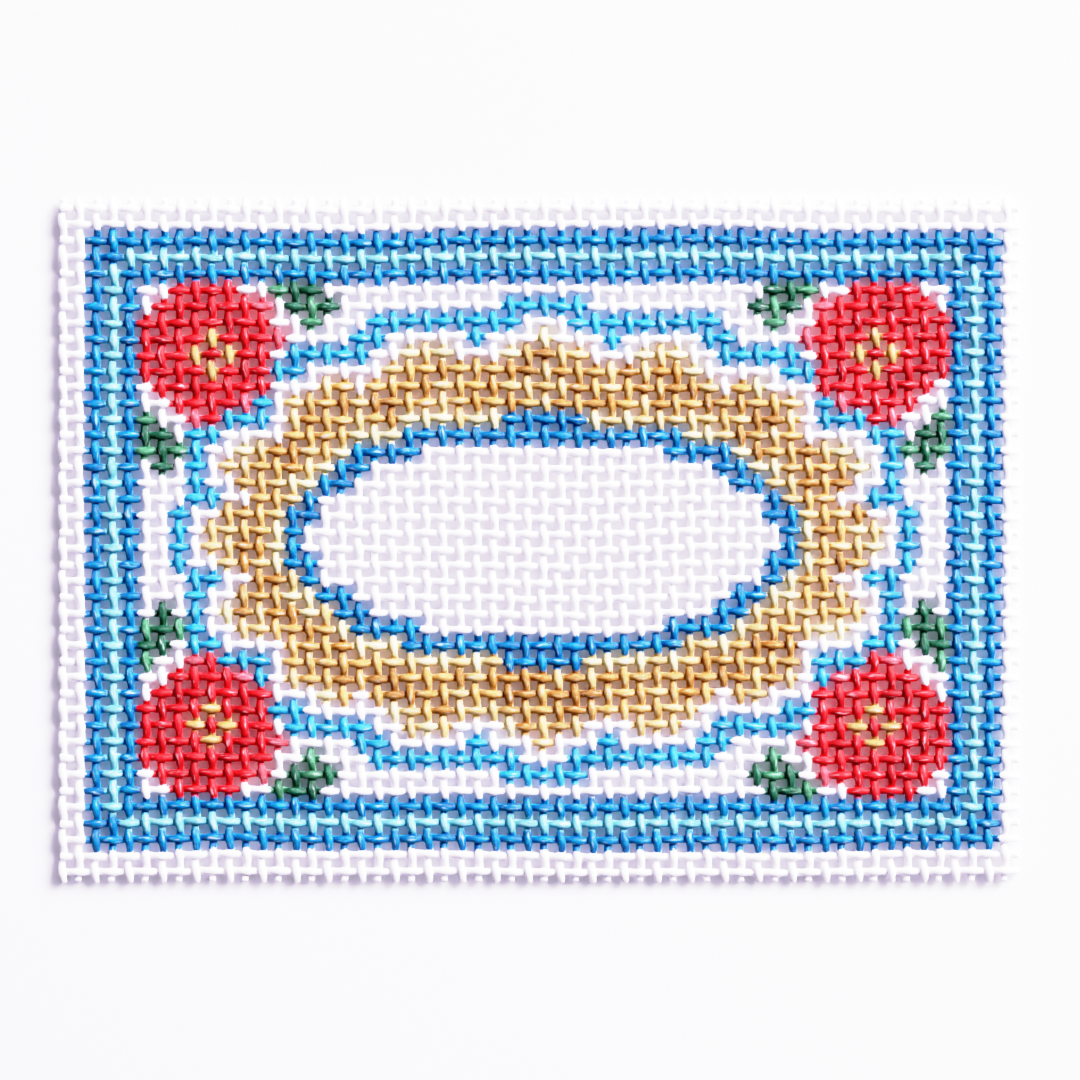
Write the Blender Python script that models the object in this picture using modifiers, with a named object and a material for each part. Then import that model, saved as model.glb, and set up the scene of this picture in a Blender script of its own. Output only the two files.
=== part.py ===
"""A needlepoint canvas panel: one flat piece of plain-weave mono canvas, cut on all four sides.

Units are metres and +Z is up. The panel lies on its back. The origin is on its underside, at the
centre of its outline, with +X along the picks (the horizontal threads) and +Y along the ends (the
vertical threads), towards the top of the painted design.

The cloth itself is one sheet as thick as two crossing threads. Beyond the last crossing thread on
each side every thread runs on as a short cut end, half as thick as the sheet, so that the outline
is the comb that a pair of scissors leaves. The holes of the weave are under a millimetre wide and
are not cut through the sheet.
"""

import math

import bpy

# Thread counts. Cotton mono canvas is sold by its threads to the inch.
INCH = 0.0254
ENDS_PER_INCH = 18.0
PICKS_PER_INCH = 18.4
ENDS = 58
PICKS = 42

# One thread, pressed a little flat by the weave.
THREAD_WIDTH = 0.00060
THREAD_DEPTH = 0.00048
THREAD_SIDES = 6

# Where the scissors ran, from the middle of the outermost thread, in thread spacings.
CUT_LEFT = 0.33
CUT_RIGHT = 0.68
CUT_TOP = 0.56
CUT_BOTTOM = 0.67

# Two threads cross at every point, and sizing and paint add a little.
SHEET_DEPTH = 0.0010
EDGE_ROUNDING = 0.00018
EDGE_STEPS = 2

COLOUR = (0.90, 0.88, 0.92, 1.0)
ROUGHNESS = 0.80

END_SPACING = INCH / ENDS_PER_INCH
PICK_SPACING = INCH / PICKS_PER_INCH

WIDTH = (ENDS - 1 + CUT_LEFT + CUT_RIGHT) * END_SPACING
HEIGHT = (PICKS - 1 + CUT_TOP + CUT_BOTTOM) * PICK_SPACING

FIRST_END_X = -WIDTH / 2 + CUT_LEFT * END_SPACING
LAST_END_X = FIRST_END_X + (ENDS - 1) * END_SPACING
FIRST_PICK_Y = -HEIGHT / 2 + CUT_BOTTOM * PICK_SPACING
LAST_PICK_Y = FIRST_PICK_Y + (PICKS - 1) * PICK_SPACING


def clear_scene():
    """Take away whatever the file opened with."""
    for thing in list(bpy.data.objects):
        bpy.data.objects.remove(thing)


def make_collection(name):
    """Make a collection of that name under the scene's own."""
    collection = bpy.data.collections.new(name)
    bpy.context.scene.collection.children.link(collection)
    return collection


def put_in(thing, collection):
    """Move an object from the active collection to the given one."""
    for holder in list(thing.users_collection):
        holder.objects.unlink(thing)
    collection.objects.link(thing)


def sized_cotton():
    """Make the bare, starched cotton of the canvas."""
    cotton = bpy.data.materials.new("sized_cotton")
    cotton.use_nodes = True
    shader = cotton.node_tree.nodes["Principled BSDF"]
    shader.inputs["Base Color"].default_value = COLOUR
    shader.inputs["Roughness"].default_value = ROUGHNESS
    shader.inputs["Metallic"].default_value = 0.0
    return cotton


def apply_scale():
    """Write the active object's scale into its mesh."""
    bpy.ops.object.transform_apply(location=False, rotation=False, scale=True)


def woven_ground():
    """Make the sheet between the outer sides of the outermost threads, with its rim rounded."""
    half_thread = THREAD_WIDTH / 2
    low = (FIRST_END_X - half_thread, FIRST_PICK_Y - half_thread)
    high = (LAST_END_X + half_thread, LAST_PICK_Y + half_thread)
    middle = ((low[0] + high[0]) / 2, (low[1] + high[1]) / 2, SHEET_DEPTH / 2)
    bpy.ops.mesh.primitive_cube_add(size=1.0, location=middle)
    ground = bpy.context.object
    ground.scale = (high[0] - low[0], high[1] - low[1], SHEET_DEPTH)
    apply_scale()
    rounding = ground.modifiers.new("rounded_rim", "BEVEL")
    rounding.width = EDGE_ROUNDING
    rounding.segments = EDGE_STEPS
    return ground


def row_of_threads(name, length, middle, along_x, spacing, count, collection):
    """Make a row of straight parallel threads, to be fused with the sheet.

    The first thread lies at middle. Those that run along X are repeated along Y, and those that
    run along Y are repeated along X.
    """
    quarter = math.radians(90)
    turn = (0, quarter, 0) if along_x else (quarter, 0, 0)
    bpy.ops.mesh.primitive_cylinder_add(
        vertices=THREAD_SIDES, radius=0.5, depth=1.0, location=middle, rotation=turn
    )
    thread = bpy.context.object
    thread.name = name
    bpy.ops.object.transform_apply(location=False, rotation=True, scale=False)
    across = THREAD_WIDTH
    thread.scale = (length, across, THREAD_DEPTH) if along_x else (across, length, THREAD_DEPTH)
    apply_scale()
    repeat = thread.modifiers.new("repeat", "ARRAY")
    repeat.use_relative_offset = False
    repeat.use_constant_offset = True
    repeat.constant_offset_displace = (0, spacing, 0) if along_x else (spacing, 0, 0)
    repeat.count = count
    put_in(thread, collection)
    thread.hide_render = True
    thread.display_type = "WIRE"
    return thread


def fuse(ground, threads):
    """Join a row of threads to the sheet, so that only their cut ends stand out."""
    union = ground.modifiers.new("fuse_" + threads.name, "BOOLEAN")
    union.operation = "UNION"
    union.object = threads


def build_canvas():
    """Build the canvas: the sheet and the cut ends of its picks and ends, as one body."""
    parts = make_collection("needlepoint_canvas")
    cutters = make_collection("cutters")

    canvas = woven_ground()
    canvas.name = "canvas"
    put_in(canvas, parts)

    mid_depth = SHEET_DEPTH / 2
    picks = row_of_threads(
        "picks", WIDTH, (0, FIRST_PICK_Y, mid_depth), True, PICK_SPACING, PICKS, cutters
    )
    ends = row_of_threads(
        "ends", HEIGHT, (FIRST_END_X, 0, mid_depth), False, END_SPACING, ENDS, cutters
    )
    fuse(canvas, picks)
    fuse(canvas, ends)
    canvas.data.materials.append(sized_cotton())


clear_scene()
build_canvas()
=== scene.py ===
"""A cut panel of painted needlepoint canvas, lying face up on a pale table.

The frame holds the panel as one flat sheet. Here the sheet becomes its threads: the ends run up the
panel and the picks across it, each waving over and under the others, and the brushed paint follows them
crossing by crossing. Lengths are in metres. +X runs along the picks, +Y along the ends, and +Z out of
the painted face.
"""

import logging
import math
from dataclasses import dataclass, field
from enum import Enum

import bmesh
import bpy
import numpy as np
from mathutils import Matrix, Vector


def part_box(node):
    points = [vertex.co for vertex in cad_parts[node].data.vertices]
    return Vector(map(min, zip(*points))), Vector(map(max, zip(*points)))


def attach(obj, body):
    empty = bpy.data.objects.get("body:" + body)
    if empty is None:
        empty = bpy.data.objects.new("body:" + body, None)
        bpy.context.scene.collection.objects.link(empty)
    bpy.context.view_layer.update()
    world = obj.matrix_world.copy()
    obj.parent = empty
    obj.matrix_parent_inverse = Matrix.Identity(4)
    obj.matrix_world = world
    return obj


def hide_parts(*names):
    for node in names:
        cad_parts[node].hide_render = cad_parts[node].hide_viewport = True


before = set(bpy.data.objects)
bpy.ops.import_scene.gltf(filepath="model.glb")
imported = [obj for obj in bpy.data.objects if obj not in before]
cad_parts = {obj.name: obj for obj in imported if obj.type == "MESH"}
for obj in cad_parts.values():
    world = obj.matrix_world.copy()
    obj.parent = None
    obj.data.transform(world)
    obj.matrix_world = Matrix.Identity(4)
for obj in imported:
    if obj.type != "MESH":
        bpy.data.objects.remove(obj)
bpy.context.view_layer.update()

NODE = "canvas"
MM = 0.001
log = logging.getLogger("needlepoint_canvas")

# Short names for the types that recur.
Pair = tuple[float, float]
Colour = tuple[float, float, float, float]
Socket = bpy.types.NodeSocket


# -------- The painted design --------


class Tint(Enum):
    """The paints, each as the display colour of a brushed thread.

    Bare thread takes none of them: BARE is only what a paint fades to at its edge.
    """

    BARE = (0.96, 0.95, 0.98)
    WHITE = (0.97, 0.965, 0.99)
    BLUE = (0.020, 0.460, 0.670)
    AQUA = (0.480, 0.785, 0.840)
    SKY = (0.160, 0.600, 0.780)
    LEAF = (0.120, 0.360, 0.240)
    FERN = (0.260, 0.510, 0.350)
    RED = (0.870, 0.110, 0.130)
    CRIMSON = (0.700, 0.030, 0.060)
    ROSE = (0.880, 0.330, 0.360)
    CREAM = (0.890, 0.840, 0.610)
    STRAW = (0.840, 0.715, 0.460)
    GOLD = (0.780, 0.610, 0.345)
    AMBER = (0.670, 0.480, 0.225)


MOTIF_KEY: dict[str, Tint] = {
    "R": Tint.RED,
    "r": Tint.CRIMSON,
    "p": Tint.ROSE,
    "Y": Tint.GOLD,
    "G": Tint.LEAF,
    "g": Tint.FERN,
}

CORNER_ROSETTE: tuple[str, ...] = (
    "..RRRR..gGG.",
    ".RRrRRRp.GgG",
    "RRrRRrRR..g.",
    "RrRRYRrRp...",
    "RRRYrYRR....",
    "RrRRYRrR....",
    ".RrrRRRR....",
    "..RRRRp.....",
    "g..pR.......",
    "GG..........",
    "gGg.........",
    ".G..........",
)


def linear_light(shown: np.ndarray) -> np.ndarray:
    """Turns display colours into linear light, as the sRGB standard lays down."""
    return np.where(shown <= 0.04045, shown / 12.92, ((shown + 0.055) / 1.055) ** 2.4)


@dataclass(frozen=True)
class Loom:
    """Where the threads of the panel run, worked out from the frame's sheet.

    The margins are what the cuts leave past the outer threads, as shares of a spacing.
    """

    ends: int = 58
    picks: int = 42
    past_left: float = 0.11
    past_right: float = 0.79
    past_bottom: float = 0.59
    past_top: float = 0.64
    low: Vector = field(default_factory=lambda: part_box(NODE)[0])
    high: Vector = field(default_factory=lambda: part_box(NODE)[1])

    @property
    def end_spacing(self) -> float:
        """The distance from one end to the next."""
        return (self.high.x - self.low.x) / (self.ends - 1 + self.past_left + self.past_right)

    @property
    def pick_spacing(self) -> float:
        """The distance from one pick to the next."""
        return (self.high.y - self.low.y) / (self.picks - 1 + self.past_bottom + self.past_top)

    @property
    def first_end(self) -> float:
        """The x of the leftmost end."""
        return self.low.x + self.past_left * self.end_spacing

    @property
    def first_pick(self) -> float:
        """The y of the lowest pick."""
        return self.low.y + self.past_bottom * self.pick_spacing

    @property
    def middle(self) -> float:
        """The height halfway through the cloth."""
        return (self.low.z + self.high.z) / 2


@dataclass
class PaintedDesign:
    """The paint on each crossing: a striped border, a scalloped gold oval and four rosettes.

    The grid is cells[pick][end], with pick 0 at the bottom. Sizes are in crossings. A share is how
    often a paint comes up in its place, and a crest is 1 in the middle of a scallop and 0 between two.
    """

    loom: Loom
    margin: int = 2
    stripes: tuple[Tint, ...] = (Tint.BLUE, Tint.AQUA, Tint.BLUE)
    oval_reach: Pair = (20.4, 12.6)
    oval_squareness: float = 2.15
    scallops: int = 16
    scallop_depth: float = 0.13
    band: float = 4.1
    cream_line: float = 0.9
    cream_share: float = 0.70
    blue_line: float = 1.35
    rim: float = 0.9
    rim_crest: float = 0.55
    rim_straw_share: float = 0.60
    amber_share: float = 0.30
    gold_share: float = 0.50
    sky_gap: float = 1.3
    sky_line: float = 1.25
    sky_crest: float = 0.25
    white_cover: float = 0.4
    outline_points: int = 1440
    seed: int = 11
    cells: list[list[Tint]] = field(init=False)
    left: int = field(init=False)
    right: int = field(init=False)
    bottom: int = field(init=False)
    top: int = field(init=False)

    def __post_init__(self) -> None:
        """Brushes the whole design onto bare cells."""
        self.cells = [[Tint.BARE] * self.loom.ends for _ in range(self.loom.picks)]
        self.left = self.margin
        self.right = self.loom.ends - self.margin
        self.bottom = self.margin
        self.top = self.loom.picks - 1 - self.margin
        self._brush_stripes()
        self._brush_oval()
        self._stamp(CORNER_ROSETTE, self.left + len(self.stripes), self.top - len(self.stripes))

    def _brush_stripes(self) -> None:
        """Brushes the border's lines, with the middle line's corners in the outer paint."""
        for step, tint in enumerate(self.stripes):
            for end in range(self.left + step, self.right - step + 1):
                for pick in range(self.bottom + step, self.top - step + 1):
                    at_side = end in (self.left + step, self.right - step)
                    at_foot = pick in (self.bottom + step, self.top - step)
                    if at_side or at_foot:
                        self.cells[pick][end] = tint
                    if at_side and at_foot:
                        self.cells[pick][end] = self.stripes[0]

    def _outline(self, angle: float, scalloped: bool) -> tuple[float, float]:
        """A point of the oval's outer edge, or of the plain oval inside it.

        Args:
            angle: the direction from the design's centre, in radians, before the oval is stretched.
            scalloped: whether it is the outer edge.

        Returns:
            The place across and up from the centre, in crossings.
        """
        across, up = math.cos(angle), math.sin(angle)
        power = self.oval_squareness
        swell = (abs(across) ** power + abs(up) ** power) ** (-1 / power)
        if scalloped:
            swell *= 1 - self.scallop_depth * (1 - abs(math.cos(self.scallops * angle / 2)))
        inset = 0.0 if scalloped else self.band
        return (self.oval_reach[0] - inset) * swell * across, (self.oval_reach[1] - inset) * swell * up

    def _gap(self, outline: np.ndarray, end: float, pick: float) -> tuple[float, int]:
        """How far a place is outside a closed outline.

        Args:
            outline: the outline's points, as they follow each other.
            end: the place across from the centre.
            pick: the place up from the centre.

        Returns:
            The distance, negative inside, and the number of the nearest point.
        """
        gaps = np.hypot(outline[:, 0] - end, outline[:, 1] - pick)
        nearest = int(gaps.argmin())
        ahead = outline[(nearest + 1) % len(outline)] - outline[nearest - 1]
        side = ahead[0] * (pick - outline[nearest, 1]) - ahead[1] * (end - outline[nearest, 0])
        return float(-gaps[nearest] if side > 0 else gaps[nearest]), nearest

    def _brush_oval(self) -> None:
        """Brushes the gold oval with its cream and blue lines inside and its sky-blue arcs outside."""
        turns = [2 * math.pi * n / self.outline_points for n in range(self.outline_points)]
        outer = np.array([self._outline(turn, True) for turn in turns])
        inner = np.array([self._outline(turn, False) for turn in turns])
        middle_end = (self.left + self.right) / 2
        middle_pick = (self.bottom + self.top) / 2
        chance = np.random.default_rng(self.seed)
        inset = len(self.stripes)
        for pick in range(self.bottom + inset, self.top - inset + 1):
            for end in range(self.left + inset, self.right - inset + 1):
                beyond, nearest = self._gap(outer, end - middle_end, pick - middle_pick)
                within, _ = self._gap(inner, end - middle_end, pick - middle_pick)
                crest = abs(math.cos(self.scallops * turns[nearest] / 2))
                self.cells[pick][end] = self._oval_tint(beyond, -within, crest, float(chance.random()))

    def _oval_tint(self, beyond: float, within: float, crest: float, luck: float) -> Tint:
        """The paint at a place beside or in the oval's band.

        Args:
            beyond: how far it is outside the outer edge, in crossings, negative inside.
            within: how far it is inside the inner edge, in crossings, negative outside.
            crest: 1 on the middle of a scallop and 0 between two.
            luck: a number from 0 to 1 that varies the gold.

        Returns:
            The paint of that crossing.
        """
        if within > self.cream_line + self.blue_line:
            return Tint.BARE
        if within > self.cream_line:
            return Tint.BLUE
        if within > 0:
            return Tint.CREAM if luck < self.cream_share else Tint.STRAW
        if beyond < 0:
            if beyond > -self.rim and crest > self.rim_crest:
                return Tint.STRAW if luck < self.rim_straw_share else Tint.CREAM
            if luck < self.amber_share:
                return Tint.AMBER
            return Tint.GOLD if luck < self.amber_share + self.gold_share else Tint.STRAW
        if self.sky_gap < beyond < self.sky_gap + self.sky_line and crest > self.sky_crest:
            return Tint.SKY
        return Tint.WHITE

    def _stamp(self, motif: tuple[str, ...], end: int, pick: int) -> None:
        """Brushes a small motif and its mirror images in the other three quarters.

        Args:
            motif: rows of letters from MOTIF_KEY, top row first, a dot where the ground stays.
            end: the end of the motif's left column.
            pick: the pick of its top row.
        """
        for down, row in enumerate(motif):
            for along, letter in enumerate(row):
                if letter == ".":
                    continue
                for mirrored_end in (end + along, self.left + self.right - end - along):
                    for mirrored_pick in (pick - down, self.bottom + self.top - pick + down):
                        self.cells[mirrored_pick][mirrored_end] = MOTIF_KEY[letter]

    def cover(self) -> np.ndarray:
        """The cover of the paint on each crossing: 0 on bare thread and 1 under a full coat."""
        thin = {Tint.BARE: 0.0, Tint.WHITE: self.white_cover}
        return np.array([[thin.get(tint, 1.0) for tint in row] for row in self.cells])

    def colours(self, seed: int, unevenness: float) -> np.ndarray:
        """The linear colour and the cover of the paint on each crossing.

        Args:
            seed: starts the random tone of the crossings.
            unevenness: how far a crossing may be lighter or darker than its paint, as a share.

        Returns:
            An array of picks by ends by 4, whose last number is the cover.
        """
        chance = np.random.default_rng(seed)
        linear = linear_light(np.array([[tint.value for tint in row] for row in self.cells]))
        tone = 1 + unevenness * (2 * chance.random(linear.shape[:2]) - 1)
        cover = self.cover()
        tone = np.where(cover == 1, tone, 1.0)
        return np.concatenate([np.clip(linear * tone[..., None], 0, 1), cover[..., None]], axis=-1)


# -------- The weave --------


@dataclass
class Drift:
    """How the crossings stray from an even grid: a slow sway that neighbours share, and a small jitter."""

    loom: Loom
    sway: float = 0.13 * MM
    jitter: float = 0.040 * MM
    waves: int = 5
    shortest_wave: float = 18 * MM
    longest_wave: float = 60 * MM
    held_edge: float = 1.2
    last_cell: float = 1.001
    seed: int = 5
    pull: np.ndarray = field(init=False)
    phase: np.ndarray = field(init=False)
    stray: np.ndarray = field(init=False)

    def __post_init__(self) -> None:
        """Draws the sway's waves and the jitter of each crossing."""
        chance = np.random.default_rng(self.seed)
        length = chance.uniform(self.shortest_wave, self.longest_wave, (2, self.waves))
        heading = chance.uniform(0, 2 * math.pi, (2, self.waves))
        self.pull = 2 * math.pi / length[..., None] * np.stack([np.cos(heading), np.sin(heading)], -1)
        self.phase = chance.uniform(0, 2 * math.pi, (2, self.waves))
        shape = (2, self.loom.picks + 2, self.loom.ends + 2)
        self.stray = chance.normal(0, self.jitter, shape)

    def shift(self, ends: np.ndarray, picks: np.ndarray) -> tuple[np.ndarray, np.ndarray]:
        """How far places in the weave stray across and up.

        Args:
            ends: the places across, counted in ends.
            picks: the places up, counted in picks.

        Returns:
            The shift in x and the shift in y of each place.
        """
        place = np.stack([ends * self.loom.end_spacing, picks * self.loom.pick_spacing], -1)
        moved = []
        for axis in range(2):
            turns = place @ self.pull[axis].T + self.phase[axis]
            slow = self.sway * np.sin(turns).sum(-1) / math.sqrt(self.waves)
            moved.append(slow + self._between(self.stray[axis], ends, picks))
        hold_x = self._hold(ends + self.loom.past_left, self.loom.ends - 1 + self.loom.past_right - ends)
        hold_y = self._hold(picks + self.loom.past_bottom, self.loom.picks - 1 + self.loom.past_top - picks)
        return moved[0] * hold_x, moved[1] * hold_y

    def _hold(self, from_low: np.ndarray, from_high: np.ndarray) -> np.ndarray:
        """A share that falls to nothing at two facing cuts, which stay straight."""
        return np.clip(np.minimum(from_low, from_high) / self.held_edge, 0, 1)

    def _between(self, grid: np.ndarray, ends: np.ndarray, picks: np.ndarray) -> np.ndarray:
        """A grid's value between its crossings, by straight lines.

        Args:
            grid: values with one row and column to spare on each side.
            ends: the places across, counted in ends.
            picks: the places up, counted in picks.

        Returns:
            The value at each place.
        """
        # A place past the last crossing is read just inside the grid.
        column = np.clip(ends + 1, 0, grid.shape[1] - self.last_cell)
        row = np.clip(picks + 1, 0, grid.shape[0] - self.last_cell)
        left, low = column.astype(int), row.astype(int)
        right_share, high_share = column - left, row - low
        lower = grid[low, left] * (1 - right_share) + grid[low, left + 1] * right_share
        upper = grid[low + 1, left] * (1 - right_share) + grid[low + 1, left + 1] * right_share
        return lower * (1 - high_share) + upper * high_share


class Course(Enum):
    """The way a set of threads runs."""

    UP = "up"
    ACROSS = "across"


@dataclass
class ThreadSet:
    """All threads of the panel that run one way, as one mesh of closed round strands."""

    name: str
    course: Course
    loom: Loom
    drift: Drift
    design: PaintedDesign
    width: float
    depth: float
    cloth: float = 0.98 * MM
    lean: float = 0.0
    swell: float = 0.12
    slub: float = 0.035
    slub_spread: float = 0.6
    slub_beats: Pair = (0.90, 0.37)
    ring_change: float = 0.045
    paint_swell: float = 0.06
    paint_lap: float = 0.22
    ring_stray: float = 0.014 * MM
    sides: int = 8
    rings: tuple[float, ...] = (-0.34, -0.17, 0.0, 0.17, 0.34)
    nip: float = 0.06
    nip_room: float = 1.5
    nip_share: float = 0.92
    dive_reach_and_shade: float = 0.50
    tone_spread: float = 0.20
    shadow_ease: float = 0.15
    seed: int = 21
    bench: float = 1.0

    @property
    def count(self) -> int:
        """How many threads run this way."""
        return self.loom.ends if self.course is Course.UP else self.loom.picks

    @property
    def crossed(self) -> int:
        """How many threads each of them crosses."""
        return self.loom.picks if self.course is Course.UP else self.loom.ends

    def _stations(self) -> np.ndarray:
        """The places of the rings along a thread.

        Returns:
            The places from cut to cut, counted in crossings, with crossing 0 at 0.
        """
        if self.course is Course.UP:
            start, stop = -self.loom.past_bottom, self.crossed - 1 + self.loom.past_top
        else:
            start, stop = -self.loom.past_left, self.crossed - 1 + self.loom.past_right
        inner = np.add.outer(np.arange(self.crossed), self.rings).ravel()
        room = self.nip_room * self.nip
        inner = inner[(inner > start + room) & (inner < stop - room)]
        return np.concatenate([[start, start + self.nip], inner, [stop - self.nip, stop]])

    def _straight_strands(self, stations: int) -> bpy.types.Mesh:
        """Lays straight strands side by side on a bench, with one unit from ring to ring.

        Args:
            stations: the number of rings along a strand, its two ends included.

        Returns:
            A mesh with strand n along y at x = 2 n.
        """
        shape = bmesh.new()
        unit = self.bench
        length = (stations - 1) * unit
        lie_down = Matrix.Translation((0, length / 2, 0)) @ Matrix.Rotation(-math.pi / 2, 4, "X")
        bmesh.ops.create_cone(
            shape,
            cap_ends=True,
            segments=self.sides,
            radius1=unit / 2,
            radius2=unit / 2,
            depth=length,
            matrix=lie_down,
        )
        along = [edge for edge in shape.edges if abs(edge.verts[0].co.y - edge.verts[1].co.y) > unit / 2]
        bmesh.ops.subdivide_edges(shape, edges=along, cuts=stations - 2)
        first = shape.verts[:] + shape.edges[:] + shape.faces[:]
        for strand in range(1, self.count):
            copy = bmesh.ops.duplicate(shape, geom=first)["geom"]
            points = [item for item in copy if isinstance(item, bmesh.types.BMVert)]
            bmesh.ops.translate(shape, verts=points, vec=(2 * unit * strand, 0, 0))
        mesh = bpy.data.meshes.new(self.name)
        shape.to_mesh(mesh)
        shape.free()
        return mesh

    def _cloth_points(self, strand: np.ndarray, ring: np.ndarray, along: np.ndarray, turn: np.ndarray,
                      shrink: np.ndarray) -> np.ndarray:
        """Bends straight strands into the weave.

        Args:
            strand: the number of each point's thread.
            ring: the number of its ring along the thread.
            along: its place along the thread, counted in crossings.
            turn: its angle round the thread, 0 to the side and a quarter turn on top.
            shrink: the share of the full section that it has, less than 1 at a cut.

        Returns:
            The points in the weave.
        """
        loom = self.loom
        up = self.course is Course.UP
        step = loom.pick_spacing if up else loom.end_spacing
        half_wave = (self.cloth - self.depth) / 2
        # An end lies over a pick where their numbers are both even or both odd.
        sense = 1.0 if up else -1.0
        phase = math.pi * (along - strand)
        rise = sense * np.cos(phase)
        climb = -sense * half_wave * math.pi / step * np.sin(phase)
        side = -sense * self.lean * np.sin(phase)
        drift_side = -sense * self.lean * math.pi / step * np.cos(phase)

        chance = np.random.default_rng(self.seed)
        ring_count = (self.count, ring.max() + 1)
        build = 1 + self.slub * chance.normal(0, self.slub_spread, self.count)[strand]
        roll = chance.uniform(0, 2 * math.pi, self.count)[strand]
        quick, slow = self.slub_beats
        build += self.slub * np.sin(along * quick + roll) * np.sin(along * slow + 2 * roll)
        build += self.ring_change * chance.normal(0, 1, ring_count)[strand, ring]
        build += self.paint_swell * self._cover(strand, along)
        side = side + self.ring_stray * chance.normal(0, 1, ring_count)[strand, ring]
        flat = self.swell * np.cos(2 * math.pi * along)
        half_width = self.width / 2 * build * (1 + flat) * shrink
        half_depth = self.depth / 2 * (1 - flat + self.swell) * shrink

        # The section stands square to the thread's own direction.
        run = np.sqrt(1 + climb**2 + drift_side**2)
        level = np.sqrt(1 + drift_side**2)
        out_side, out_up = half_width * np.cos(turn), half_depth * np.sin(turn)
        side_move = side + out_side / level - out_up * climb * drift_side / (run * level)
        along_move = -out_side * drift_side / level - out_up * climb / (run * level)
        rise_move = half_wave * rise + out_up * level / run

        if up:
            shift_x, shift_y = self.drift.shift(strand.astype(float), along)
            x = loom.first_end + strand * loom.end_spacing + side_move + shift_x
            y = loom.first_pick + along * loom.pick_spacing + along_move + shift_y
        else:
            shift_x, shift_y = self.drift.shift(along, strand.astype(float))
            x = loom.first_end + along * loom.end_spacing + along_move + shift_x
            y = loom.first_pick + strand * loom.pick_spacing + side_move + shift_y
        return np.stack([x, y, loom.middle + rise_move], -1)

    def _cover(self, strand: np.ndarray, along: np.ndarray) -> np.ndarray:
        """How much paint covers each point: 0 on bare thread and 1 under a full coat.

        Args:
            strand: the number of each point's thread.
            along: its place along the thread, counted in crossings.

        Returns:
            The cover at each point.
        """
        crossing = np.clip(np.rint(along), 0, self.crossed - 1).astype(int)
        cover = self.design.cover()
        return cover[crossing, strand] if self.course is Course.UP else cover[strand, crossing]

    def build(self) -> bpy.types.Object:
        """Makes the threads, with their paint and their own UV map.

        Returns:
            The object, at the origin, with its place in its mesh.
        """
        stations = self._stations()
        mesh = self._straight_strands(len(stations))
        count = len(mesh.vertices)
        bench = np.empty(count * 3)
        mesh.vertices.foreach_get("co", bench)
        bench = bench.reshape(-1, 3) / self.bench
        strand = np.rint(bench[:, 0] / 2).astype(int)
        ring = np.rint(bench[:, 1]).astype(int)
        turn = np.arctan2(bench[:, 2], bench[:, 0] - 2 * strand)
        along = stations[ring]
        shrink = np.where((ring == 0) | (ring == len(stations) - 1), self.nip_share, 1.0)
        points = self._cloth_points(strand, ring, along, turn, shrink)
        mesh.vertices.foreach_set("co", points.ravel())
        self._carry_paint(mesh, strand, ring, stations)
        self._wrap_map(mesh, strand, turn, along)
        self._note_lift(mesh, strand, along, turn)
        # The sides are round, and the cut ends are flat.
        mesh.shade_smooth()
        for face in mesh.polygons:
            face.use_smooth = len(face.vertices) == 4
        mesh.update()
        thread_object = bpy.data.objects.new(self.name, mesh)
        bpy.context.scene.collection.objects.link(thread_object)
        thread_object.cycles.shadow_terminator_geometry_offset = self.shadow_ease
        return thread_object

    def _faces(self, mesh: bpy.types.Mesh) -> tuple[np.ndarray, np.ndarray]:
        """The point of each face corner and the face that it belongs to.

        Args:
            mesh: the threads.

        Returns:
            The point's number and the face's number of each corner.
        """
        corner_point = np.empty(len(mesh.loops), np.int32)
        mesh.loops.foreach_get("vertex_index", corner_point)
        sizes = np.empty(len(mesh.polygons), np.int32)
        mesh.polygons.foreach_get("loop_total", sizes)
        return corner_point, np.repeat(np.arange(len(sizes)), sizes)

    def _carry_paint(self, mesh: bpy.types.Mesh, strand: np.ndarray, ring: np.ndarray,
                     stations: np.ndarray) -> None:
        """Gives each face the paint of the two crossings that it lies between, and its place between them.

        Args:
            mesh: the threads.
            strand: the number of each point's thread.
            ring: the number of its ring along the thread.
            stations: the place of each ring, counted in crossings.
        """
        corner_point, corner_face = self._faces(mesh)
        faces = corner_face[-1] + 1
        corner_along = stations[ring[corner_point]]
        middle = np.bincount(corner_face, corner_along) / np.bincount(corner_face)
        low = np.floor(middle).astype(int)
        here = np.clip(low, 0, self.crossed - 1)
        there = np.clip(low + 1, 0, self.crossed - 1)
        strand_of_face = np.empty(faces, int)
        strand_of_face[corner_face] = strand[corner_point]

        paint = self.design.colours(self.seed, self.tone_spread)
        if self.course is Course.UP:
            paint_here, paint_next = paint[here, strand_of_face], paint[there, strand_of_face]
        else:
            paint_here, paint_next = paint[strand_of_face, here], paint[strand_of_face, there]
        # Paint laps past the halfway line, towards a bare neighbour.
        lap = self.paint_lap * (paint_here[:, 3] - paint_next[:, 3])
        blend = corner_along - low[corner_face] - lap[corner_face]
        for layer, value in (("paint_here", paint_here), ("paint_next", paint_next)):
            attribute = mesh.attributes.new(layer, "FLOAT_COLOR", "CORNER")
            attribute.data.foreach_set("color", value[corner_face].astype(np.float32).ravel())
        attribute = mesh.attributes.new("paint_step", "FLOAT", "CORNER")
        attribute.data.foreach_set("value", blend.astype(np.float32))

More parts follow.
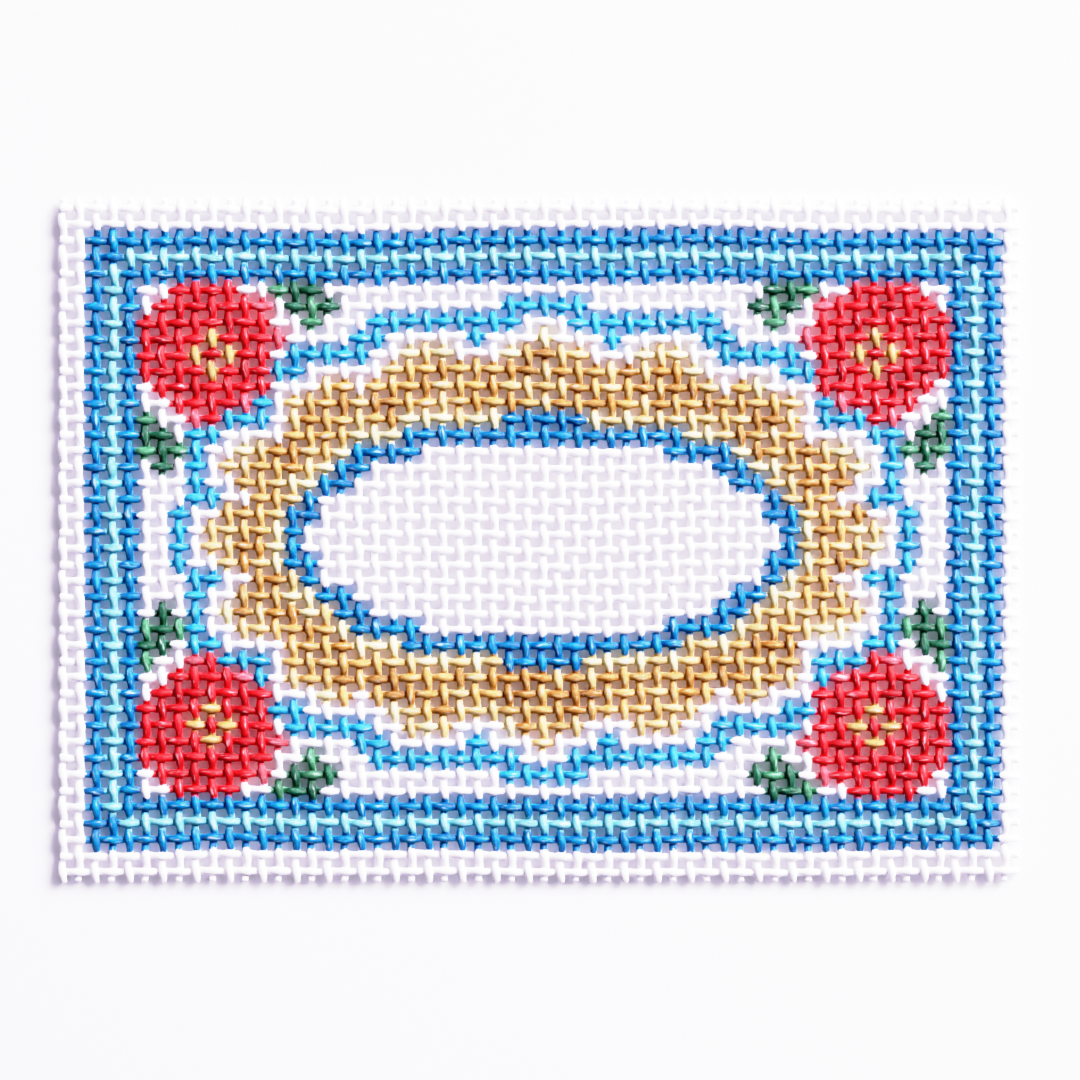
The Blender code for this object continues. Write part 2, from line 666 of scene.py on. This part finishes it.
    def _wrap_map(self, mesh: bpy.types.Mesh, strand: np.ndarray, turn: np.ndarray,
                  along: np.ndarray) -> None:
        """Makes the UV map: once round the thread across, and one crossing to a unit along.

        Each thread has its own unit across, so that no two look alike.

        Args:
            mesh: the threads.
            strand: the number of each point's thread.
            turn: each point's angle round its thread.
            along: its place along the thread, counted in crossings.
        """
        corner_point, corner_face = self._faces(mesh)
        side = 1 / self.sides
        around = np.mod(turn / (2 * math.pi), 1.0)[corner_point]
        around = np.where(around > 1 - side / 4, 0.0, around)
        # On a face that closes the round, the corners at 0 are read as 1.
        most = np.zeros(corner_face[-1] + 1)
        np.maximum.at(most, corner_face, around)
        corners = np.bincount(corner_face)
        closes = (most[corner_face] > 1 - 1.5 * side) & (corners[corner_face] == 4)
        around = np.where(closes & (around < side / 2), 1.0, around)
        layer = mesh.uv_layers.new(name="ThreadMap")
        across = around + strand[corner_point]
        layer.data.foreach_set("uv", np.stack([across, along[corner_point]], -1).astype(np.float32).ravel())

    def _note_lift(self, mesh: bpy.types.Mesh, strand: np.ndarray, along: np.ndarray,
                   turn: np.ndarray) -> None:
        """Notes how well the brush reaches each point, which also places the painted shade low on the
        thread and where it dives: 1 on a crown, and least where the thread dives.

        Args:
            mesh: the threads.
            strand: the number of each point's thread.
            along: its place along the thread, counted in crossings.
            turn: its angle round the thread.
        """
        sense = 1.0 if self.course is Course.UP else -1.0
        dive = (1 - sense * np.cos(math.pi * (along - strand))) / 2
        # The dive lowers lift, which the material reads for the brush's reach and for the painted shade
        # where the thread dives.
        lift = 0.5 + 0.5 * np.sin(turn) - self.dive_reach_and_shade * dive
        attribute = mesh.attributes.new("lift", "FLOAT", "POINT")
        attribute.data.foreach_set("value", lift.astype(np.float32))


# -------- Finishes --------


@dataclass
class NodeBoard:
    """A material's node tree, with short ways to add and join its nodes."""

    material: bpy.types.Material
    tree: bpy.types.NodeTree = field(init=False)

    def __post_init__(self) -> None:
        """Clears the tree."""
        self.material.use_nodes = True
        self.tree = self.material.node_tree
        self.tree.nodes.clear()

    def add(self, kind: str, **settings: object) -> bpy.types.Node:
        """Adds a node.

        Args:
            kind: the node's type.
            settings: its properties.

        Returns:
            The node.
        """
        node = self.tree.nodes.new(kind)
        for name, value in settings.items():
            setattr(node, name, value)
        return node

    def feed(self, socket: Socket, source: object) -> None:
        """Links a socket to another, or sets its value.

        Args:
            socket: the socket to feed.
            source: the socket or the value that feeds it.
        """
        if isinstance(source, Socket):
            self.tree.links.new(source, socket)
        else:
            socket.default_value = source

    def maths(self, operation: str, first: object, second: object = 0.0) -> Socket:
        """Works out one sum.

        Args:
            operation: the sum's name.
            first: the first value or socket.
            second: the second value or socket.

        Returns:
            The result's socket.
        """
        node = self.add("ShaderNodeMath", operation=operation)
        self.feed(node.inputs[0], first)
        self.feed(node.inputs[1], second)
        return node.outputs[0]

    def spread(self, value: object, low: float, high: float, to_low: float = 0.0,
               to_high: float = 1.0) -> Socket:
        """Maps a range onto another, smoothly and no further.

        Args:
            value: the value or socket.
            low: where the range starts.
            high: where it ends.
            to_low: the result at the start.
            to_high: the result at the end.

        Returns:
            The result's socket.
        """
        node = self.add("ShaderNodeMapRange", interpolation_type="SMOOTHSTEP")
        for name, source in (("Value", value), ("From Min", low), ("From Max", high),
                             ("To Min", to_low), ("To Max", to_high)):
            self.feed(node.inputs[name], source)
        return node.outputs["Result"]

    def noise(self, place: Socket, size: float, detail: float = 2.0, stretch: float = 0.0) -> Socket:
        """Adds noise with features of a given size.

        Args:
            place: the coordinates.
            size: the size of a feature, in the coordinates' unit.
            detail: how many finer layers it has.
            stretch: how far it is warped.

        Returns:
            The noise value's socket.
        """
        node = self.add("ShaderNodeTexNoise", noise_dimensions="3D")
        self.feed(node.inputs["Vector"], place)
        self.feed(node.inputs["Scale"], 1 / size)
        self.feed(node.inputs["Detail"], detail)
        self.feed(node.inputs["Distortion"], stretch)
        return node.outputs["Fac"]

    def coat(self, paint: Socket, thickness: object) -> Socket:
        """Makes a paint paler where its coat is thinner than 1, and deeper where it is thicker.

        Args:
            paint: the colour of a coat of thickness 1.
            thickness: the coat's thickness.

        Returns:
            The colour's socket.
        """
        node = self.add("ShaderNodeGamma")
        self.feed(node.inputs["Color"], paint)
        self.feed(node.inputs["Gamma"], thickness)
        return node.outputs[0]

    def blend(self, share: object, first: object, second: object) -> Socket:
        """Blends two colours.

        Args:
            share: how much of the second shows.
            first: the first colour or socket.
            second: the second colour or socket.

        Returns:
            The colour's socket.
        """
        node = self.add("ShaderNodeMix", data_type="RGBA")
        # The node's colour sockets come after those for numbers and vectors.
        self.feed(node.inputs[0], share)
        self.feed(node.inputs[6], first)
        self.feed(node.inputs[7], second)
        return node.outputs[2]

    def surface(self, sockets: dict[str, object]) -> bpy.types.Material:
        """Ends the tree with a shader that lets a little light through.

        Args:
            sockets: the value or the socket that feeds each of the shader's inputs.

        Returns:
            The finished material.
        """
        shader = self.add("ShaderNodeBsdfPrincipled", subsurface_method="BURLEY")
        self.feed(shader.inputs["Subsurface Radius"], (1.0, 1.0, 1.0))
        for name, source in sockets.items():
            self.feed(shader.inputs[name], source)
        out = self.add("ShaderNodeOutputMaterial")
        self.feed(out.inputs["Surface"], shader.outputs[0])
        return self.material


@dataclass(frozen=True)
class PaintedCotton:
    """Sized cotton thread, bare or brushed with acrylic paint, as the mesh's attributes say."""

    name: str = "painted_cotton"
    bare_light: Colour = (0.898, 0.880, 0.905, 1.0)
    bare_shade: Colour = (0.850, 0.835, 0.858, 1.0)
    bare_patch: float = 1.3 * MM
    bare_roughness: float = 0.70
    bare_glow: float = 1.0
    glow_depth: float = 0.50 * MM
    paint_roughness: float = 0.60
    paint_shine: float = 0.26
    paint_glow: float = 0.0
    ior: float = 1.5
    edge_wobble: float = 0.30 * MM
    edge_stray: float = 0.30
    edge_blur: float = 0.09
    brush_gap: float = 0.22 * MM
    brush_gap_share: float = 0.30
    brush_reach: Pair = (0.50, 0.68)
    speck: float = 0.15 * MM
    speck_reach: Pair = (0.26, 0.36)
    soak_coat: float = 0.7
    blotch: float = 0.45 * MM
    blotch_reach: Pair = (0.30, 0.70)
    blotch_coat: Pair = (1.18, 0.85)
    streak_scale: tuple[float, float, float] = (9.0, 1.6, 1.0)
    streak_warp: float = 0.3
    streak_reach: Pair = (0.32, 0.68)
    streak_coat: Pair = (1.20, 0.86)
    # Painted shade low on the thread and where it dives, and a painted highlight on the crowns that is
    # partly real wear.
    pool_and_shade_reach: Pair = (0.60, 0.96)
    pool_and_shade_coat: Pair = (1.3, 1.0)
    low_painted_shade: float = 0.78
    rub_and_highlight_reach: Pair = (0.56, 0.74)
    rub_and_highlight: float = 0.42
    crown: float = 0.6
    plies: int = 2
    twist: float = 1.35
    relief: float = 0.040 * MM
    relief_strength: float = 0.9
    ply_relief: Pair = (1.0, 0.5)
    ply_round: float = 0.5
    streak_relief: float = 0.8
    grain_relief: float = 0.8
    grain: float = 0.17 * MM
    grain_warp: float = 0.5

    def material(self) -> bpy.types.Material:
        """Makes the material.

        Returns:
            The material, shared by both sets of threads.
        """
        board = NodeBoard(bpy.data.materials.new(self.name))
        place = board.add("ShaderNodeTexCoord").outputs["Object"]
        lift = board.add("ShaderNodeAttribute", attribute_name="lift").outputs["Fac"]
        wrap = board.add("ShaderNodeUVMap", uv_map="ThreadMap").outputs["UV"]
        stretched = board.add("ShaderNodeMapping")
        board.feed(stretched.inputs["Vector"], wrap)
        board.feed(stretched.inputs["Scale"], self.streak_scale)
        streaks = board.noise(stretched.outputs[0], 1.0, stretch=self.streak_warp)

        paint, cover = self._paint(board, place)
        brushed = self._brushed(board, place, lift, cover)
        return board.surface({
            "Base Color": self._colour(board, place, lift, streaks, paint, brushed, cover),
            "Roughness": board.spread(cover, 0.0, 1.0, self.bare_roughness, self.paint_roughness),
            "Normal": self._relief(board, place, wrap, streaks, cover),
            "Subsurface Weight": board.spread(brushed, 0.0, 1.0, self.bare_glow, self.paint_glow),
            "Subsurface Scale": self.glow_depth,
            "IOR": self.ior,
            "Specular IOR Level": self.paint_shine,
        })

    def _paint(self, board: NodeBoard, place: Socket) -> tuple[Socket, Socket]:
        """Reads the paint, which gives way to the next crossing's along a wobbly line.

        Args:
            board: the node tree.
            place: the object coordinates.

        Returns:
            The paint's colour and its cover, 0 on bare thread.
        """
        here = board.add("ShaderNodeAttribute", attribute_name="paint_here")
        there = board.add("ShaderNodeAttribute", attribute_name="paint_next")
        step = board.add("ShaderNodeAttribute", attribute_name="paint_step").outputs["Fac"]
        wobble = board.noise(place, self.edge_wobble, detail=1.0)
        strayed = board.maths("MULTIPLY", board.maths("SUBTRACT", wobble, 0.5), self.edge_stray)
        edge = board.maths("ADD", step, strayed)
        turned = board.spread(edge, 0.5 - self.edge_blur, 0.5 + self.edge_blur)
        paint = board.blend(turned, here.outputs["Color"], there.outputs["Color"])
        cover_step = board.maths("SUBTRACT", there.outputs["Alpha"], here.outputs["Alpha"])
        cover = board.maths("MULTIPLY", cover_step, turned)
        return paint, board.maths("ADD", cover, here.outputs["Alpha"])

    def _brushed(self, board: NodeBoard, place: Socket, lift: Socket, cover: Socket) -> Socket:
        """How much brushed paint there is: the brush misses the backs of the threads and a few specks.

        Args:
            board: the node tree.
            place: the object coordinates.
            lift: how well the brush reaches, 1 on a crown.
            cover: where the design has paint.

        Returns:
            The share of brushed paint.
        """
        gaps = board.maths("MULTIPLY", board.noise(place, self.brush_gap), self.brush_gap_share)
        reached = board.spread(board.maths("ADD", lift, gaps), *self.brush_reach)
        specks = board.spread(board.noise(place, self.speck), *self.speck_reach)
        return board.maths("MULTIPLY", board.maths("MULTIPLY", cover, reached), specks)

    def _colour(self, board: NodeBoard, place: Socket, lift: Socket, streaks: Socket, paint: Socket,
                brushed: Socket, cover: Socket) -> Socket:
        """The colour of the thread: cotton, cotton stained from above, or paint of uneven thickness, with
        painted shade low on the thread and a painted highlight on its crowns.

        Args:
            board: the node tree.
            place: the object coordinates.
            lift: how well the brush reaches, 1 on a crown; it also places the painted shade and the painted
                highlight.
            streaks: noise drawn out along the thread.
            paint: the paint's colour.
            brushed: the share of brushed paint.
            cover: the share of paint that has soaked in, which is all that the design gives.

        Returns:
            The colour.
        """
        # Paint gathers between the fibres and low on the thread, where the coat is also deepened and
        # darkened as painted shade, as it is where the thread dives. The crowns are thinned towards cotton,
        # partly real wear and partly a painted highlight.
        spots = board.noise(place, self.blotch, detail=3.0)
        blotches = board.spread(spots, *self.blotch_reach, *self.blotch_coat)
        streaked = board.spread(streaks, *self.streak_reach, *self.streak_coat)
        # A thicker coat low on the thread: partly paint that gathers there, partly painted shade.
        pooled_and_shaded = board.spread(lift, *self.pool_and_shade_reach, *self.pool_and_shade_coat)
        coat = board.maths("MULTIPLY", board.maths("MULTIPLY", blotches, streaked), pooled_and_shaded)
        patches = board.noise(place, self.bare_patch, detail=3.0)
        cotton = board.blend(patches, self.bare_shade, self.bare_light)
        # Painted highlight, partly real wear: the crowns, where the light falls, are lightened towards
        # cotton in streaks.
        crown = board.spread(lift, self.crown, 1.0)
        rubbed_and_highlit = board.maths("MULTIPLY", board.spread(streaks, *self.rub_and_highlight_reach, 0.0, self.rub_and_highlight), crown)
        # Painted shade: the paint is darkened low on the thread and where it dives under a crossing thread.
        shaded = board.add("ShaderNodeVectorMath", operation="SCALE")
        board.feed(shaded.inputs[0], board.coat(paint, coat))
        board.feed(shaded.inputs["Scale"], board.spread(lift, *self.pool_and_shade_reach, self.low_painted_shade, 1.0))
        worn_shaded_highlit = board.blend(rubbed_and_highlit, shaded.outputs[0], cotton)
        under = board.blend(cover, cotton, board.coat(paint, self.soak_coat))
        return board.blend(brushed, under, worn_shaded_highlit)

    def _relief(self, board: NodeBoard, place: Socket, wrap: Socket, streaks: Socket,
                cover: Socket) -> Socket:
        """The relief of two twisted plies, their fibres and the brushed paint.

        Args:
            board: the node tree.
            place: the object coordinates.
            wrap: the thread's own map, once round it across and one crossing to a unit along.
            streaks: noise drawn out along the thread.
            cover: the share of paint, which fills the groove between the plies.

        Returns:
            The bumped normal.
        """
        parts = board.add("ShaderNodeSeparateXYZ")
        board.feed(parts.inputs[0], wrap)
        winding = board.maths("MULTIPLY", parts.outputs["X"], float(self.plies))
        winding = board.maths("ADD", winding, board.maths("MULTIPLY", parts.outputs["Y"], self.twist))
        ply = board.maths("ABSOLUTE", board.maths("SINE", board.maths("MULTIPLY", winding, math.pi)))
        ply = board.maths("POWER", ply, self.ply_round)
        height = board.maths("MULTIPLY", ply, board.spread(cover, 0.0, 1.0, *self.ply_relief))
        height = board.maths("ADD", height, board.maths("MULTIPLY", streaks, self.streak_relief))
        grain = board.noise(place, self.grain, detail=3.0, stretch=self.grain_warp)
        height = board.maths("ADD", height, board.maths("MULTIPLY", grain, self.grain_relief))
        bump = board.add("ShaderNodeBump")
        board.feed(bump.inputs["Strength"], self.relief_strength)
        board.feed(bump.inputs["Distance"], self.relief)
        board.feed(bump.inputs["Height"], height)
        return bump.outputs["Normal"]


@dataclass(frozen=True)
class PaleTable:
    """The plain surface that the panel lies on: smooth and slightly see-through, as white acrylic is."""

    name: str = "floor"
    finish: str = "pale_table"
    reach: float = 1.5
    gap: float = 0.02 * MM
    colour: Colour = (0.95, 0.945, 0.955, 1.0)
    roughness: float = 0.6
    glow: float = 1.0
    glow_depth: float = 2.4 * MM

    def build(self, under: float) -> bpy.types.Object:
        """Makes the floor just below a height.

        Args:
            under: the lowest point of what lies on it.

        Returns:
            The floor.
        """
        shape = bmesh.new()
        bmesh.ops.create_grid(shape, x_segments=1, y_segments=1, size=self.reach)
        bmesh.ops.translate(shape, verts=shape.verts, vec=(0, 0, under - self.gap))
        mesh = bpy.data.meshes.new(self.name)
        shape.to_mesh(mesh)
        shape.free()
        mesh.materials.append(NodeBoard(bpy.data.materials.new(self.finish)).surface({
            "Base Color": self.colour,
            "Roughness": self.roughness,
            "Subsurface Weight": self.glow,
            "Subsurface Scale": self.glow_depth,
        }))
        floor = bpy.data.objects.new(self.name, mesh)
        bpy.context.scene.collection.objects.link(floor)
        return floor


# -------- Light and camera --------


@dataclass(frozen=True)
class Softbox:
    """A square soft light that faces the panel."""

    name: str
    bearing: float
    height: float
    size: float
    power: float
    distance: float = 0.9
    colour: tuple[float, float, float] = (1.0, 0.985, 0.96)

    def hang(self, aim: Vector) -> None:
        """Puts the light at its bearing and height, in degrees, from the point that it faces.

        Args:
            aim: the point that it faces.
        """
        data = bpy.data.lights.new(self.name, "AREA")
        data.shape = "SQUARE"
        data.size = self.size
        data.energy = self.power
        data.color = self.colour
        bearing, height = math.radians(self.bearing), math.radians(self.height)
        away = Vector((
            math.cos(bearing) * math.cos(height),
            math.sin(bearing) * math.cos(height),
            math.sin(height),
        ))
        light = bpy.data.objects.new(self.name, data)
        light.location = aim + away * self.distance
        light.rotation_euler = away.to_track_quat("Z", "Y").to_euler()
        bpy.context.scene.collection.objects.link(light)


@dataclass(frozen=True)
class Film:
    """The camera's response, which rolls bright threads off gently instead of clipping them.

    Each point is a brightness in the scene and the brightness that the picture shows. Each cast is a
    colour channel, a brightness in the picture and what that channel makes of it.
    """

    brightest: float = 4.0
    shared_curve: int = 3
    casts: tuple[tuple[int, float, float], ...] = ((1, 0.85, 0.825), (2, 0.86, 0.90))
    points: tuple[Pair, ...] = (
        (0.016, 0.006),
        (0.047, 0.036),
        (0.12, 0.125),
        (0.50, 0.48),
        (0.85, 0.76),
        (1.25, 0.865),
        (2.30, 0.952),
        (3.20, 0.980),
    )

    def load(self, view: bpy.types.ColorManagedViewSettings) -> None:
        """Puts the response into the view's curves.

        Args:
            view: the scene's view settings.
        """
        view.use_curve_mapping = True
        mapping = view.curve_mapping
        mapping.white_level = (self.brightest,) * 3
        for bright, shown in self.points:
            mapping.curves[self.shared_curve].points.new(bright / self.brightest, shown)
        for channel, neutral, cast in self.casts:
            mapping.curves[channel].points.new(neutral, cast)
        mapping.update()


@dataclass(frozen=True)
class Studio:
    """Soft light from the upper right of the view, a pale sky, and a camera straight above the panel."""

    loom: Loom
    lens: float = 100.0
    sensor: float = 36.0
    panel_share: float = 960 / 1080
    clip_span: float = 100.0
    key: Softbox = Softbox("key", bearing=42.0, height=31.0, size=0.30, power=44.0)
    film: Film = Film()
    sky_colour: Colour = (0.98, 0.96, 1.0, 1.0)
    sky_strength: float = 0.15
    bounces: int = 12
    spare_bounces: int = 4

    def set_up(self) -> None:
        """Makes the camera, the lights and the sky."""
        self._camera()
        self.key.hang(self._middle())
        self._sky()
        scene = bpy.context.scene
        scene.view_settings.view_transform = "Standard"
        self.film.load(scene.view_settings)
        scene.cycles.diffuse_bounces = self.bounces
        scene.cycles.max_bounces = self.bounces + self.spare_bounces

    def _middle(self) -> Vector:
        """The middle of the painted face."""
        low, high = self.loom.low, self.loom.high
        return Vector(((low.x + high.x) / 2, (low.y + high.y) / 2, high.z))

    def _camera(self) -> None:
        """Hangs the camera over the middle, looking straight down with the panel's top edge up."""
        data = bpy.data.cameras.new("camera")
        data.lens = self.lens
        data.sensor_width = self.sensor
        view_width = (self.loom.high.x - self.loom.low.x) / self.panel_share
        distance = view_width * self.lens / self.sensor
        data.clip_start = distance / self.clip_span
        data.clip_end = distance * self.clip_span
        camera = bpy.data.objects.new("camera", data)
        camera.location = self._middle() + Vector((0, 0, distance))
        bpy.context.scene.collection.objects.link(camera)
        bpy.context.scene.camera = camera

    def _sky(self) -> None:
        """Fills the shade with pale, slightly lilac light."""
        world = bpy.data.worlds.new("sky")
        world.use_nodes = True
        background = world.node_tree.nodes["Background"]
        background.inputs["Color"].default_value = self.sky_colour
        background.inputs["Strength"].default_value = self.sky_strength
        bpy.context.scene.world = world


def declare(picks: bpy.types.Object, ends: bpy.types.Object) -> None:
    """Ties the threads to the frame's root body and hides the frame's flat sheet.

    Args:
        picks: the threads across.
        ends: the threads up.
    """
    for threads in (picks, ends):
        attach(threads, "root")
        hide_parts(NODE)


def main() -> None:
    """Builds the panel, its table and its light, and reports each piece."""
    logging.basicConfig(level=logging.INFO, format="%(name)s: %(message)s")
    loom = Loom()
    drift = Drift(loom)
    design = PaintedDesign(loom)
    ends = ThreadSet("warp_ends", Course.UP, loom, drift, design, width=0.66 * MM, depth=0.46 * MM,
                     lean=0.08 * MM, seed=21)
    picks = ThreadSet("weft_picks", Course.ACROSS, loom, drift, design, width=0.63 * MM, depth=0.52 * MM,
                      lean=0.015 * MM, seed=22)
    cotton = PaintedCotton().material()
    pieces: dict[Course, bpy.types.Object] = {}
    for threads in (ends, picks):
        piece = threads.build()
        piece.data.materials.append(cotton)
        log.info("%s: %d threads, %d faces", piece.name, threads.count, len(piece.data.polygons))
        pieces[threads.course] = piece
    floor = PaleTable().build(loom.low.z)
    log.info("%s: pale table", floor.name)
    Studio(loom).set_up()
    declare(pieces[Course.ACROSS], pieces[Course.UP])


if __name__ == "__main__":
    main()
